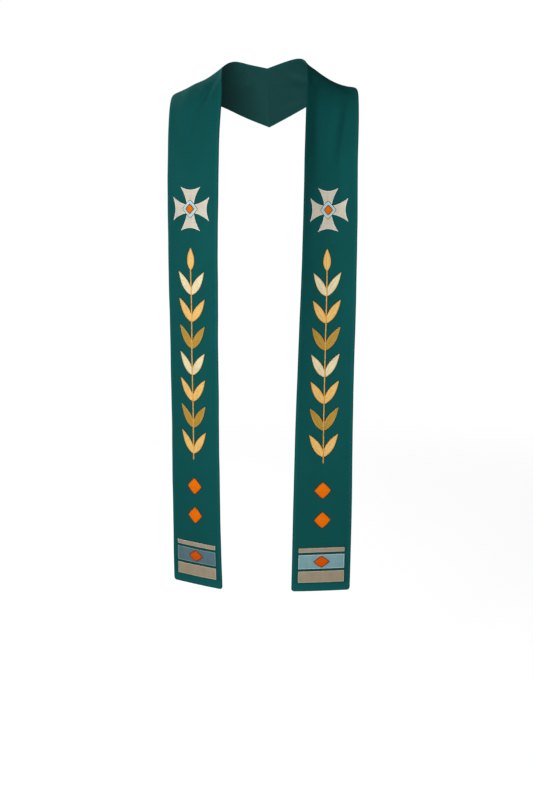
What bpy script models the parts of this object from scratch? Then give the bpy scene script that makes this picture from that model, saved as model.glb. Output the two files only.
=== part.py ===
"""A worn clerical stole: two interlined bands joined at the centre back, with applied pieces.

Metres, +Z up. +X is the wearer's left and -Y is the front. The origin is the neck edge of
the centre-back seam, where the stole rests on the wearer's nape.

Each half is one straight strip of cloth. Its shape is a smooth surface through a short table
of sections: lines straight across the strip, from its neck edge to its outer edge. What lies
on a band is drawn in the flat cut, as metres across from the strip's middle and metres up
from its hem, and then carried onto the band's own surface, moved out.
"""

import math
from typing import NamedTuple

import bmesh
import bpy
import numpy as np
from mathutils import Vector
from mathutils.geometry import delaunay_2d_cdt

BAND_WIDTH = 0.130
BAND_WALL = 0.0024
SEAM_GAP = 0.0003
HEM_CORNER = 0.007
# The centre-back seam has slid this far to the wearer's left of the middle of the neck.
SEAM_OFFSET = 0.006

PATCH_WALL = 0.0010
PATCH_GAP = 0.0005
PATCH_GRID = 0.013

RING_STEP_WORN = 0.0110
RING_STEP_HANGING = 0.0300
WORN_LENGTH = 0.440
FACE_COLUMNS = 12


class Section(NamedTuple):
    """A line across the band: its neck edge point, its tilt, and how the cloth bows along it."""
    place: str
    x: float
    y: float
    z: float
    spread: float
    bearing: float
    droop: float
    bow: float


# spread is the line's length over the band's width, more than 1 where the seam is a mitre.
# bearing turns the line from +X towards +Y, droop turns it down, both in degrees.
LEFT_SECTIONS = (
    Section("centre back", 0.000, 0.000, 0.000, 1.10, 90, 62, 0.004),
    Section("nape", 0.036, -0.007, 0.010, 1.04, 75, 54, 0.004),
    Section("behind neck", 0.066, -0.026, 0.018, 1.00, 60, 42, 0.002),
    Section("beside neck", 0.085, -0.053, 0.017, 1.00, 48, 31, -0.002),
    Section("crest", 0.095, -0.084, 0.007, 1.00, 40, 22, -0.007),
    Section("collar front", 0.099, -0.112, -0.014, 0.99, 34, 14, -0.014),
    Section("collar bone", 0.099, -0.136, -0.052, 0.96, 29, 7, -0.018),
    Section("upper chest", 0.099, -0.157, -0.102, 0.94, 26, 4, -0.021),
    Section("chest", 0.098, -0.175, -0.170, 0.93, 24, 2, -0.021),
    Section("under chest", 0.097, -0.190, -0.280, 0.95, 25, 1, -0.018),
    Section("waist", 0.092, -0.200, -0.480, 0.97, 22, 0, -0.014),
    Section("hip", 0.084, -0.206, -0.720, 0.98, 17, 0, -0.008),
    Section("thigh", 0.079, -0.212, -0.950, 1.00, 12, 0, -0.002),
    Section("hem", 0.076, -0.216, -1.125, 1.00, 10, 0, 0.002),
)
RIGHT_SECTIONS = (
    Section("centre back", 0.000, 0.000, 0.000, 1.10, 90, 62, 0.004),
    Section("nape", 0.036, -0.007, 0.009, 1.04, 75, 55, 0.004),
    Section("behind neck", 0.063, -0.026, 0.013, 1.00, 58, 43, 0.004),
    Section("beside neck", 0.079, -0.053, 0.005, 1.00, 44, 31, 0.001),
    Section("crest", 0.083, -0.084, -0.008, 1.00, 34, 22, 0.001),
    Section("collar front", 0.081, -0.112, -0.029, 1.00, 28, 13, 0.004),
    Section("collar bone", 0.079, -0.136, -0.064, 1.00, 25, 5, 0.007),
    Section("upper chest", 0.080, -0.157, -0.110, 1.00, 25, 2, 0.008),
    Section("chest", 0.081, -0.175, -0.174, 1.00, 26, 1, 0.008),
    Section("under chest", 0.082, -0.190, -0.282, 1.00, 27, 1, 0.007),
    Section("waist", 0.083, -0.200, -0.480, 1.00, 29, 0, 0.005),
    Section("hip", 0.082, -0.206, -0.720, 1.00, 30, 0, 0.004),
    Section("thigh", 0.080, -0.212, -0.950, 1.00, 29, 0, 0.003),
    Section("hem", 0.076, -0.216, -1.125, 1.00, 27, 0, 0.002),
)


class Fold(NamedTuple):
    """A soft trough (depth below 0) or ridge along a line drawn in the flat cut."""
    place: str
    across_top: float
    up_top: float
    across_low: float
    up_low: float
    half_width: float
    depth: float


LEFT_FOLDS = (
    Fold("trough from the shoulder", 0.056, 1.120, 0.022, 0.890, 0.010, -0.0046),
    Fold("trough running on down", 0.032, 0.980, 0.034, 0.790, 0.011, -0.0026),
    Fold("ridge inside that trough", 0.034, 1.140, 0.002, 0.900, 0.012, 0.0034),
    Fold("trough below the neck edge", -0.026, 1.170, -0.032, 0.840, 0.016, -0.0040),
    Fold("tucked in beside the neck", -0.048, 1.204, -0.050, 1.080, 0.012, -0.0030),
    Fold("wave at the waist", 0.030, 0.780, 0.036, 0.560, 0.026, -0.0018),
    Fold("back, from the neck", -0.030, 1.290, 0.020, 1.200, 0.014, -0.0030),
)
RIGHT_FOLDS = (
    Fold("trough from the neck", -0.074, 1.150, 0.014, 1.000, 0.008, -0.0032),
    Fold("trough running on down", 0.002, 1.060, 0.008, 0.920, 0.010, -0.0024),
    Fold("ridge outside it", -0.010, 1.170, 0.036, 1.010, 0.014, 0.0020),
    Fold("trough near the outer edge", 0.046, 1.090, 0.040, 0.880, 0.014, -0.0020),
    Fold("wave at the waist", -0.028, 0.740, -0.036, 0.520, 0.026, -0.0018),
    Fold("back, from the neck", -0.026, 1.290, 0.022, 1.195, 0.014, -0.0030),
)


class Cloth(NamedTuple):
    """A cloth's colour (linear), roughness and sheen."""
    name: str
    colour: tuple[float, float, float]
    roughness: float
    sheen: float


GREEN = Cloth("green_band_cloth", (0.0056, 0.0802, 0.0742), 0.85, 0.10)
GOLD = Cloth("gold_cloth", (0.82, 0.46, 0.13), 0.55, 0.15)
OCHRE = Cloth("ochre_cloth", (0.52, 0.30, 0.035), 0.60, 0.15)
IVORY = Cloth("ivory_cloth", (0.78, 0.66, 0.44), 0.60, 0.15)
BEIGE = Cloth("beige_cloth", (0.46, 0.35, 0.25), 0.60, 0.15)
BLUE = Cloth("pale_blue_cloth", (0.20, 0.35, 0.40), 0.60, 0.15)
SLATE = Cloth("slate_blue_cloth", (0.095, 0.17, 0.20), 0.60, 0.15)
ORANGE = Cloth("orange_cloth", (0.80, 0.13, 0.006), 0.60, 0.15)


# Applied pieces, in metres across and up in the flat cut.
HEM_BAND_WIDTH = 0.102
HEM_BANDS = (
    ("hem_band_low", 0.020, 0.046, BEIGE),
    ("hem_band_middle", 0.051, 0.083, SLATE),
    ("hem_band_high", 0.088, 0.098, BEIGE),
)
HEM_LOZENGE = (0.067, 0.034, 0.024)
LOZENGES = (
    ("lozenge_low", 0.160, 0.036, 0.036),
    ("lozenge_high", 0.226, 0.036, 0.036),
)
CROSS_UP = 0.830
CROSS_SPAN = 0.092
CROSS_ARM_END = 0.050
CROSS_WAIST = 0.019
CROSS_END_DIP = 0.006
CROSS_PLATE = 0.036
CROSS_BOSS = 0.019

STEM_LOW = 0.300
LEAF_PAIR_RISE = 0.058
LEAF_LENGTH = 0.060
LEAF_BREADTH = 0.018
LEAF_LEAN = 33.0
LEAF_CLOTHS = (GOLD, OCHRE, GOLD, IVORY, OCHRE, GOLD, IVORY)
LEAF_EDGE_POINTS = 5
BUD_RISE = 0.016
BUD_LENGTH = 0.048


def smooth_through(knots, values, at):
    """Read a natural cubic spline through (knots, values) at the given places."""
    count = len(knots)
    step = np.diff(knots)
    slope = np.diff(values) / step
    matrix = np.eye(count)
    right = np.zeros(count)
    for i in range(1, count - 1):
        matrix[i, i - 1:i + 2] = step[i - 1], 2 * (step[i - 1] + step[i]), step[i]
        right[i] = 6 * (slope[i] - slope[i - 1])
    bend = np.linalg.solve(matrix, right)
    k = np.clip(np.searchsorted(knots, at) - 1, 0, count - 2)
    b = (at - knots[k]) / step[k]
    a = 1 - b
    curve = ((a**3 - a) * bend[k] + (b**3 - b) * bend[k + 1]) * step[k]**2 / 6
    return a * values[k] + b * values[k + 1] + curve


def across_direction(bearing, droop):
    """Unit vectors along the section lines, from the neck edge to the outer edge."""
    turn = np.radians(bearing)
    down = np.radians(droop)
    flat = np.cos(down)
    return np.stack([flat * np.cos(turn), flat * np.sin(turn), -np.sin(down)], axis=-1)


class Half:
    """One half of the stole: a smooth surface over the strip's flat cut."""

    def __init__(self, side, sections, folds):
        self.side = side
        self.mirror = 1.0 if side == "left" else -1.0
        self.folds = folds
        table = np.array([section[1:] for section in sections])
        self.edge = table[:, 0:3]
        self.edge[1:, 0] -= self.mirror * SEAM_OFFSET
        self.columns = np.column_stack([table[:, 3] * BAND_WIDTH, table[:, 4:7]])
        middle = self.edge + across_direction(table[:, 4], table[:, 5]) * self.columns[:, :1] / 2
        steps = np.linalg.norm(np.diff(middle, axis=0), axis=1)
        self.knots = np.concatenate([[0.0], np.cumsum(steps)])
        self.length = float(self.knots[-1])

    def frame(self, along):
        """Neck edge point, direction across, line length and bow, each at every place along."""
        values = np.column_stack([self.edge, self.columns])
        read = np.column_stack([smooth_through(self.knots, column, along) for column in values.T])
        return read[:, 0:3], across_direction(read[:, 4], read[:, 5]), read[:, 3], read[:, 6]

    def fold_height(self, across, up):
        """How far the folds lift the cloth at each place of the flat cut."""
        height = np.zeros_like(across)
        for fold in self.folds:
            run = np.array([fold.across_low - fold.across_top, fold.up_low - fold.up_top])
            reach = float(np.hypot(*run))
            run = run / reach
            from_top = np.stack([across - fold.across_top, up - fold.up_top], axis=-1)
            part = from_top @ run / reach
            aside = from_top @ np.array([-run[1], run[0]])
            ends = np.where((part > 0) & (part < 1), np.sin(np.pi * np.clip(part, 0, 1))**2, 0.0)
            height += fold.depth * ends * np.exp(-(aside / fold.half_width)**2)
        return height

    def points(self, across, up, lift):
        """Places of the flat cut on the worn surface, lifted off its middle by lift metres."""
        across, up, lift = np.broadcast_arrays(across, up, lift)
        shape = across.shape
        across, up, lift = across.ravel(), up.ravel(), lift.ravel()
        along = self.length - up
        part = 0.5 + across / BAND_WIDTH
        delta = 0.0005
        edge, direction, line, bow = self.frame(along)
        ahead_edge, ahead_direction, ahead_line, _ = self.frame(along + delta)
        here = edge + direction * (line * part)[:, None]
        ahead = ahead_edge + ahead_direction * (ahead_line * part)[:, None]
        normal = np.cross(ahead - here, direction)
        normal /= np.linalg.norm(normal, axis=1, keepdims=True)
        swell = bow * 4 * part * (1 - part) + self.fold_height(across, up)
        worn = here + normal * (swell + lift)[:, None]
        worn[:, 0] *= self.mirror
        return worn.reshape(shape + (3,))


def add_solid(name, points, faces, cloth):
    """Make one closed body with its faces pointing out, in its own cloth."""
    mesh = bpy.data.meshes.new(name)
    mesh.from_pydata([tuple(point) for point in points], [], faces)
    body = bmesh.new()
    body.from_mesh(mesh)
    bmesh.ops.recalc_face_normals(body, faces=body.faces)
    bmesh.ops.triangulate(body, faces=body.faces)
    body.to_mesh(mesh)
    body.free()
    mesh.shade_smooth()
    mesh.set_sharp_from_angle(angle=math.radians(40))
    mesh.materials.append(cloth_material(cloth))
    obj = bpy.data.objects.new(name, mesh)
    bpy.context.collection.objects.link(obj)
    return obj


def cloth_material(cloth):
    """A Principled material for a cloth, made once."""
    found = bpy.data.materials.get(cloth.name)
    if found:
        return found
    material = bpy.data.materials.new(cloth.name)
    material.use_nodes = True
    shader = material.node_tree.nodes["Principled BSDF"]
    shader.inputs["Base Color"].default_value = (*cloth.colour, 1.0)
    shader.inputs["Roughness"].default_value = cloth.roughness
    shader.inputs["Metallic"].default_value = 0.0
    shader.inputs["Sheen Weight"].default_value = cloth.sheen
    return material


def ring_places(length):
    """Metres up from the hem of each ring: close over the shoulder, wide apart where it hangs."""
    worn = np.linspace(length, length - WORN_LENGTH, round(WORN_LENGTH / RING_STEP_WORN) + 1)
    hanging_length = length - WORN_LENGTH - HEM_CORNER
    hanging = np.linspace(length - WORN_LENGTH, HEM_CORNER,
                          round(hanging_length / RING_STEP_HANGING) + 1)
    corner = HEM_CORNER * (1 - np.sin(np.radians([22.5, 45.0, 67.5, 90.0])))
    return np.concatenate([worn, hanging[1:], corner])


def corner_inset(up):
    """How far the rounded hem corner takes the edge in, at metres up from the hem."""
    short = np.clip(HEM_CORNER - up, 0.0, HEM_CORNER)
    return HEM_CORNER - np.sqrt(HEM_CORNER**2 - short**2)


def build_band(half):
    """The closed wall of one half, as rings round its cross section with rounded edges."""
    up = ring_places(half.length)
    reach = BAND_WIDTH / 2 - corner_inset(up)
    columns = np.linspace(-1.0, 1.0, FACE_COLUMNS + 1)
    rim = BAND_WALL / 2
    face_across = (reach - rim)[:, None] * columns[None]
    hem_half_wall = np.where(up < rim, 0.35 * BAND_WALL, BAND_WALL / 2)[:, None]
    rows = up[:, None]
    outer = half.points(face_across, rows, hem_half_wall)
    inner = half.points(face_across[:, ::-1], rows, -hem_half_wall)
    outer_rim = half.points(reach[:, None], rows, 0.0)
    neck_rim = half.points(-reach[:, None], rows, 0.0)
    rings = np.concatenate([outer, outer_rim, inner, neck_rim], axis=1)
    rings[0, :, 0] = half.mirror * SEAM_GAP / 2
    count = rings.shape[1]
    faces = []
    for ring in range(len(up) - 1):
        for j in range(count):
            a = ring * count + j
            b = ring * count + (j + 1) % count
            faces.append((a, b, b + count, a + count))
    for first in (0, (len(up) - 1) * count):
        faces += end_cap(first, count)
    return add_solid(f"{half.side}_band", rings.reshape(-1, 3), faces, GREEN)


def end_cap(first, count):
    """Faces that close a ring: outer face points paired with the inner face points behind them."""
    on_face = FACE_COLUMNS + 1
    faces = []
    for j in range(FACE_COLUMNS):
        behind = 2 * on_face - j
        faces.append((first + j, first + j + 1, first + behind - 1, first + behind))
    faces.append((first + on_face - 1, first + on_face, first + on_face + 1))
    faces.append((first + 2 * on_face, first + count - 1, first))
    return faces


def is_inside(points, outline):
    """Whether each flat point lies inside the outline, by the crossings to its right."""
    inside = np.zeros(len(points), dtype=bool)
    for a, b in zip(outline, np.roll(outline, -1, axis=0)):
        if a[1] == b[1]:
            continue
        spans = (a[1] > points[:, 1]) != (b[1] > points[:, 1])
        crossing = a[0] + (points[:, 1] - a[1]) * (b[0] - a[0]) / (b[1] - a[1])
        inside ^= spans & (points[:, 0] < crossing)
    return inside


def edge_distance(points, outline):
    """How far each flat point lies from the nearest edge of the outline."""
    nearest = np.full(len(points), np.inf)
    for a, b in zip(outline, np.roll(outline, -1, axis=0)):
        run = b - a
        part = np.clip((points - a) @ run / (run @ run), 0, 1)
        gap = np.linalg.norm(points - a - part[:, None] * run, axis=1)
        nearest = np.minimum(nearest, gap)
    return nearest


def grid_inside(outline, spacing):
    """Points of an even grid inside an outline, kept off its edge."""
    low = outline.min(axis=0)
    high = outline.max(axis=0)
    across = np.arange(low[0] + spacing / 2, high[0], spacing)
    up = np.arange(low[1] + spacing / 2, high[1], spacing)
    grid = np.stack(np.meshgrid(across, up), axis=-1).reshape(-1, 2)
    clear = edge_distance(grid, outline) > spacing * 0.35
    return grid[is_inside(grid, outline) & clear]


def fill_outline(outline, spacing):
    """Fill an outline with triangles over its own points and an even grid inside it."""
    count = len(outline)
    flat = [Vector(point) for point in np.concatenate([outline, grid_inside(outline, spacing)])]
    edges = [(i, (i + 1) % count) for i in range(count)]
    filled = delaunay_2d_cdt(flat, edges, [], 0, 1e-7, False)
    cut = np.array([tuple(point) for point in filled[0]])
    triangles = np.array([tuple(face) for face in filled[2]])
    kept = is_inside(cut[triangles].mean(axis=1), outline)
    return cut, [tuple(int(i) for i in face) for face in triangles[kept]]


def short_edges(outline, longest):
    """The same outline with its long edges split, so that it can follow the band's curve."""
    points = []
    for a, b in zip(outline, np.roll(outline, -1, axis=0)):
        pieces = max(1, math.ceil(float(np.linalg.norm(b - a)) / longest - 0.01))
        points += [a + (b - a) * i / pieces for i in range(pieces)]
    return np.array(points)


def build_patch(half, name, outline, cloth, layer=0):
    """A flat cut piece laid on the band: its outline filled, moved out, and given its wall."""
    outline = short_edges(np.asarray(outline), PATCH_GRID)
    cut, triangles = fill_outline(outline, PATCH_GRID)
    rim = boundary_edges(triangles)
    bottom_lift = BAND_WALL / 2 + PATCH_GAP + layer * (PATCH_WALL + PATCH_GAP)
    bottom = half.points(cut[:, 0], cut[:, 1], bottom_lift)
    top = half.points(cut[:, 0], cut[:, 1], bottom_lift + PATCH_WALL)
    total = len(cut)
    faces = [tuple(i + total for i in face) for face in triangles]
    faces += [tuple(reversed(face)) for face in triangles]
    faces += [(a, b, b + total, a + total) for a, b in rim]
    return add_solid(f"{half.side}_{name}", np.concatenate([bottom, top]), faces, cloth)


def boundary_edges(triangles):
    """The edges that only one triangle has, in that triangle's order."""
    directed = {(face[i], face[(i + 1) % 3]) for face in triangles for i in range(3)}
    return sorted(edge for edge in directed if (edge[1], edge[0]) not in directed)


def rectangle(width, low, high):
    """A rectangle across the middle of the band, from low to high above the hem."""
    side = width / 2
    return [(-side, low), (side, low), (side, high), (-side, high)]


def lozenge(up, width, height):
    """A lozenge centred across the band at up, with its sides bowed out a little."""
    corners = np.array([[width / 2, 0], [0, height / 2], [-width / 2, 0], [0, -height / 2]])
    points = []
    for a, b in zip(corners, np.roll(corners, -1, axis=0)):
        for part in (0.0, 0.25, 0.5, 0.75):
            bulge = 1 + 0.32 * part * (1 - part)
            points.append((a + (b - a) * part) * bulge)
    return np.array(points) + [0.0, up]


def cross_outline():
    """A cross whose four arms flare from its middle to hollowed ends."""
    half_span = CROSS_SPAN / 2
    end = CROSS_ARM_END / 2
    arm = []
    for part in (0.0, 0.34, 0.67, 1.0):
        breadth = CROSS_WAIST / 2 + (end - CROSS_WAIST / 2) * part**1.7
        arm.append((CROSS_WAIST / 2 + (half_span - CROSS_WAIST / 2) * part, -breadth))
    for part in (0.33, 0.67):
        arm.append((half_span - CROSS_END_DIP * math.sin(math.pi * part), end * (2 * part - 1)))
    arm += [(x, -y) for x, y in reversed(arm[1:4])]
    points = []
    for quarter in range(4):
        turn = quarter * math.pi / 2
        spin = np.array([[math.cos(turn), math.sin(turn)], [-math.sin(turn), math.cos(turn)]])
        points.append(np.array(arm) @ spin)
    return np.concatenate(points) + [0.0, CROSS_UP]


def leaf_side(length, breadth, from_part):
    """Along and aside of a leaf's edge, base to tip: widest before the middle."""
    part = np.linspace(from_part, 1.0, LEAF_EDGE_POINTS)
    aside = breadth / 2 * np.sin(math.pi * part**0.8)**0.9
    aside[-1] = 0.0
    return part * length, aside


def leaf_pair(up):
    """Two leaves that share their base on the stem and lean out and up."""
    lean = math.radians(LEAF_LEAN)
    along, aside = leaf_side(LEAF_LENGTH, LEAF_BREADTH, 0.12)
    stem = np.array([math.sin(lean), math.cos(lean)])
    square = np.array([math.cos(lean), -math.sin(lean)])
    lower = along[:, None] * stem + aside[:, None] * square
    upper = along[:, None] * stem - aside[:, None] * square
    kept = upper[:-1][upper[:-1, 0] > 0.001]
    right = np.concatenate([lower, kept[::-1]])
    notch = np.array([[0.0, kept[0, 1] + 0.003]])
    foot = np.array([[0.0, -0.004]])
    left = right[::-1] * [-1.0, 1.0]
    return np.concatenate([foot, right, notch, left]) + [0.0, up]


def bud(up):
    """The single leaf at the stem's tip."""
    along, aside = leaf_side(BUD_LENGTH, LEAF_BREADTH, 0.0)
    right = np.column_stack([aside, along])
    left = right[1:-1][::-1] * [-1.0, 1.0]
    return np.concatenate([right, left]) + [0.0, up]


def build_hem(half):
    """Three straight bands above the hem, and the lozenge on the middle one."""
    for name, low, high, cloth in HEM_BANDS:
        build_patch(half, name, rectangle(HEM_BAND_WIDTH, low, high), cloth)
    up, width, height = HEM_LOZENGE
    build_patch(half, "hem_lozenge", lozenge(up, width, height), ORANGE, layer=1)


def build_cross(half):
    """The cross with its two lozenges, one on the other."""
    build_patch(half, "cross", cross_outline(), BEIGE)
    build_patch(half, "cross_plate", lozenge(CROSS_UP, CROSS_PLATE, CROSS_PLATE), BLUE, layer=1)
    build_patch(half, "cross_boss", lozenge(CROSS_UP, CROSS_BOSS, CROSS_BOSS), ORANGE, layer=2)


def build_stem(half):
    """Leaf pairs one above the other, and the bud above them."""
    for number, cloth in enumerate(LEAF_CLOTHS, start=1):
        up = STEM_LOW + (number - 1) * LEAF_PAIR_RISE
        build_patch(half, f"leaf_pair_{number}", leaf_pair(up), cloth)
    tip = STEM_LOW + (len(LEAF_CLOTHS) - 1) * LEAF_PAIR_RISE + LEAF_LENGTH * 0.62 + BUD_RISE
    build_patch(half, "leaf_bud", bud(tip), GOLD)


def main():
    """Build both halves and what is sewn on them."""
    for obj in list(bpy.data.objects):
        bpy.data.objects.remove(obj, do_unlink=True)
    for side, sections, folds in (
        ("left", LEFT_SECTIONS, LEFT_FOLDS),
        ("right", RIGHT_SECTIONS, RIGHT_FOLDS),
    ):
        half = Half(side, sections, folds)
        build_band(half)
        build_hem(half)
        for name, up, width, height in LOZENGES:
            build_patch(half, name, lozenge(up, width, height), ORANGE)
        build_cross(half)
        build_stem(half)


main()
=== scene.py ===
"""The looks of a worn clerical stole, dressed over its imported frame.

The stole is two interlined bands of green cloth that meet in a seam at the centre back.
Each band is one straight strip, so everything on it is drawn in the strip's flat cut:
"across" is metres from the strip's middle, outwards positive, and "up" is metres above the
hem. The class WornStrip carries any place of the flat cut onto the worn, folded surface.

Metres, +Z up. +X is the wearer's left and -Y is the front.
"""

import logging
import math
from dataclasses import dataclass, field, replace
from enum import Enum

import bmesh
import bpy
import numpy as np
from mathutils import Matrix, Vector


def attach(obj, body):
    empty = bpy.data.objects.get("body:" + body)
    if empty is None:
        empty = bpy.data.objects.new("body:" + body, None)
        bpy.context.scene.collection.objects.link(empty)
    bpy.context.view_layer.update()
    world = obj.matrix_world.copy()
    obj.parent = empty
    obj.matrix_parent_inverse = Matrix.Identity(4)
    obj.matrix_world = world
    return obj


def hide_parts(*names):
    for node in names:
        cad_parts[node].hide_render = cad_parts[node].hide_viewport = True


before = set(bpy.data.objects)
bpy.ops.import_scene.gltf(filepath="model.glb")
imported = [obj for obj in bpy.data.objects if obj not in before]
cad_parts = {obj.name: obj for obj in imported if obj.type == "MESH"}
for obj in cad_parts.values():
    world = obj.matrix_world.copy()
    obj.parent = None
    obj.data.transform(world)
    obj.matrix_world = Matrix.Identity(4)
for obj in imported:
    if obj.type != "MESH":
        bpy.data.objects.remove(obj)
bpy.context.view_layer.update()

LOG = logging.getLogger("stole")

Array = np.ndarray
Colour = tuple[float, float, float]
Socket = bpy.types.NodeSocket
Inputs = dict[str | int, object]

BAND_WIDTH = 0.130
RIM = 0.0024 / 2
SEAM_OFFSET = 0.006
HEM_CORNER = 0.007
TOUCH_GAP = 0.00005
SEAM_PRESS = 0.00008
WELD = 0.00002
THREAD_SAMPLE = 0.0006
BORDER_WIDTH = 0.0018
LOZENGE_BOW = 0.32
WHITE = (1.0, 1.0, 1.0, 1.0)


class Side(Enum):
    """The wearer's side that a half of the stole hangs on."""

    LEFT = "left"
    RIGHT = "right"

    @property
    def mirror(self) -> float:
        """1 on the wearer's left and -1 on the right."""
        return 1.0 if self is Side.LEFT else -1.0


@dataclass(frozen=True)
class Section:
    """A line straight across the strip, as it lies when worn.

    x, y and z place its neck edge. spread is its length over the strip's width. bearing
    turns it from +X towards +Y and droop turns it down, in degrees. bow swells its middle.
    """

    place: str
    x: float
    y: float
    z: float
    spread: float
    bearing: float
    droop: float
    bow: float


@dataclass(frozen=True)
class Fold:
    """A soft ridge (depth above 0) or trough along a line in the flat cut.

    The line runs from top to low, both (across, up). sway bends the line sideways at its
    middle, and skew makes one flank wider than the other.
    """

    place: str
    top: tuple[float, float]
    low: tuple[float, float]
    half_width: float
    depth: float
    sway: float = 0.0
    skew: float = 0.0

    def height(self, place: Array) -> Array:
        """How far this fold lifts the cloth.

        The lift is depth, times a squared half sine wave along the line, so that the ends
        fade out, times a bell curve aside of it.

        Args:
            place: (across, up) along the last axis.

        Returns:
            The lift in metres at each place.
        """
        run = np.array(self.low) - self.top
        reach = float(np.hypot(*run))
        ahead = run / reach
        from_top = place - self.top
        wave = np.sin(math.pi * np.clip(from_top @ ahead / reach, 0.0, 1.0))
        aside = from_top @ np.array([-ahead[1], ahead[0]]) - self.sway * wave
        width = self.half_width * (1.0 + self.skew * np.tanh(aside / self.half_width))
        return self.depth * wave**2 * np.exp(-((aside / width) ** 2))


LEFT_SECTIONS = (
    Section("centre back", 0.000, 0.000, 0.000, 1.10, 90, 62, 0.004),
    Section("nape", 0.036, -0.007, 0.010, 1.04, 75, 54, 0.004),
    Section("behind neck", 0.066, -0.026, 0.018, 1.00, 60, 42, 0.002),
    Section("beside neck", 0.085, -0.053, 0.017, 1.00, 48, 31, -0.002),
    Section("crest", 0.095, -0.084, 0.007, 1.00, 40, 22, -0.007),
    Section("collar front", 0.099, -0.112, -0.014, 0.99, 34, 14, -0.014),
    Section("collar bone", 0.099, -0.136, -0.052, 0.96, 29, 7, -0.018),
    Section("upper chest", 0.099, -0.157, -0.102, 0.94, 26, 4, -0.021),
    Section("chest", 0.098, -0.175, -0.170, 0.93, 24, 2, -0.021),
    Section("under chest", 0.097, -0.190, -0.280, 0.95, 25, 1, -0.018),
    Section("waist", 0.092, -0.200, -0.480, 0.97, 22, 0, -0.014),
    Section("hip", 0.084, -0.206, -0.720, 0.98, 17, 0, -0.008),
    Section("thigh", 0.079, -0.212, -0.950, 1.00, 12, 0, -0.002),
    Section("hem", 0.076, -0.216, -1.125, 1.00, 10, 0, 0.002),
)
RIGHT_SECTIONS = (
    Section("centre back", 0.000, 0.000, 0.000, 1.10, 90, 62, 0.004),
    Section("nape", 0.036, -0.007, 0.009, 1.04, 75, 55, 0.004),
    Section("behind neck", 0.063, -0.026, 0.013, 1.00, 58, 43, 0.004),
    Section("beside neck", 0.079, -0.053, 0.005, 1.00, 44, 31, 0.001),
    Section("crest", 0.083, -0.084, -0.008, 1.00, 34, 22, 0.001),
    Section("collar front", 0.081, -0.112, -0.029, 1.00, 28, 13, 0.004),
    Section("collar bone", 0.079, -0.136, -0.064, 1.00, 25, 5, 0.007),
    Section("upper chest", 0.080, -0.157, -0.110, 1.00, 25, 2, 0.008),
    Section("chest", 0.081, -0.175, -0.174, 1.00, 26, 1, 0.008),
    Section("under chest", 0.082, -0.190, -0.282, 1.00, 27, 1, 0.007),
    Section("waist", 0.083, -0.200, -0.480, 1.00, 29, 0, 0.005),
    Section("hip", 0.082, -0.206, -0.720, 1.00, 30, 0, 0.004),
    Section("thigh", 0.080, -0.212, -0.950, 1.00, 29, 0, 0.003),
    Section("hem", 0.076, -0.216, -1.125, 1.00, 27, 0, 0.002),
)

LEFT_FOLDS = (
    Fold("trough from the shoulder", (0.056, 1.120), (0.022, 0.890), 0.010, -0.0046),
    Fold("trough running on down", (0.032, 0.980), (0.034, 0.790), 0.011, -0.0026),
    Fold("ridge inside that trough", (0.034, 1.140), (0.002, 0.900), 0.012, 0.0034),
    Fold("trough below the neck edge", (-0.026, 1.170), (-0.032, 0.840), 0.016, -0.0040),
    Fold("tucked in beside the neck", (-0.048, 1.204), (-0.050, 1.080), 0.012, -0.0030),
    Fold("wave at the waist", (0.030, 0.780), (0.036, 0.560), 0.026, -0.0018),
    Fold("back, from the neck", (-0.030, 1.290), (0.020, 1.200), 0.014, -0.0030),
)
RIGHT_FOLDS = (
    Fold("trough from the neck", (-0.074, 1.150), (0.014, 1.000), 0.008, -0.0032),
    Fold("trough running on down", (0.002, 1.060), (0.008, 0.920), 0.010, -0.0024),
    Fold("ridge outside it", (-0.010, 1.170), (0.036, 1.010), 0.014, 0.0020),
    Fold("trough near the outer edge", (0.046, 1.090), (0.040, 0.880), 0.014, -0.0020),
    Fold("wave at the waist", (-0.028, 0.740), (-0.036, 0.520), 0.026, -0.0018),
    Fold("back, from the neck", (-0.026, 1.290), (0.022, 1.195), 0.014, -0.0030),
)

LEFT_CREASES = (
    Fold("pucker at the nape", (-0.066, 1.296), (-0.034, 1.268), 0.0060, -0.0007, 0.002, 0.3),
    Fold("pressed in behind the neck", (-0.067, 1.246), (-0.026, 1.226), 0.0065, -0.0010, 0.003, 0.3),
    Fold("pressed in beside the neck", (-0.067, 1.206), (-0.020, 1.198), 0.0075, -0.0011, -0.002, -0.3),
    Fold("pressed in at the crest", (-0.067, 1.168), (-0.026, 1.152), 0.0065, -0.0009, 0.003, 0.2),
    Fold("below the crest", (-0.067, 1.128), (-0.030, 1.096), 0.0075, -0.0008, -0.003, 0.3),
    Fold("below the shoulder crest", (0.004, 1.160), (0.058, 1.084), 0.0065, -0.0017, 0.002, 0.2),
    Fold("short drag outside it", (0.062, 1.020), (0.046, 0.950), 0.0085, -0.0008, 0.002, -0.2),
    Fold("soft flute at the chest", (-0.020, 0.910), (-0.030, 0.700), 0.0160, 0.0008, 0.006, 0.2),
    Fold("soft flute at the hip", (0.018, 0.560), (0.028, 0.250), 0.0200, -0.0009, -0.006, 0.2),
    Fold("inner flute to the hem", (-0.038, 0.470), (-0.032, 0.110), 0.0180, 0.0008, 0.004, -0.2),
    Fold("outer dent above the hem", (0.058, 0.220), (0.052, 0.060), 0.0110, -0.0006, 0.002, 0.2),
    Fold("back, near the outer edge", (0.050, 1.300), (0.040, 1.190), 0.0130, 0.0010, 0.004, 0.2),
    Fold("back, drag from the seam", (-0.052, 1.304), (0.034, 1.212), 0.0090, -0.0019, -0.006, 0.3),
    Fold("back, swell below that drag", (-0.018, 1.302), (0.040, 1.236), 0.0100, 0.0013, -0.004, -0.2),
    Fold("back, dent at the outer edge", (0.036, 1.318), (0.056, 1.232), 0.0080, -0.0014, 0.003, 0.2),
)
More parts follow.
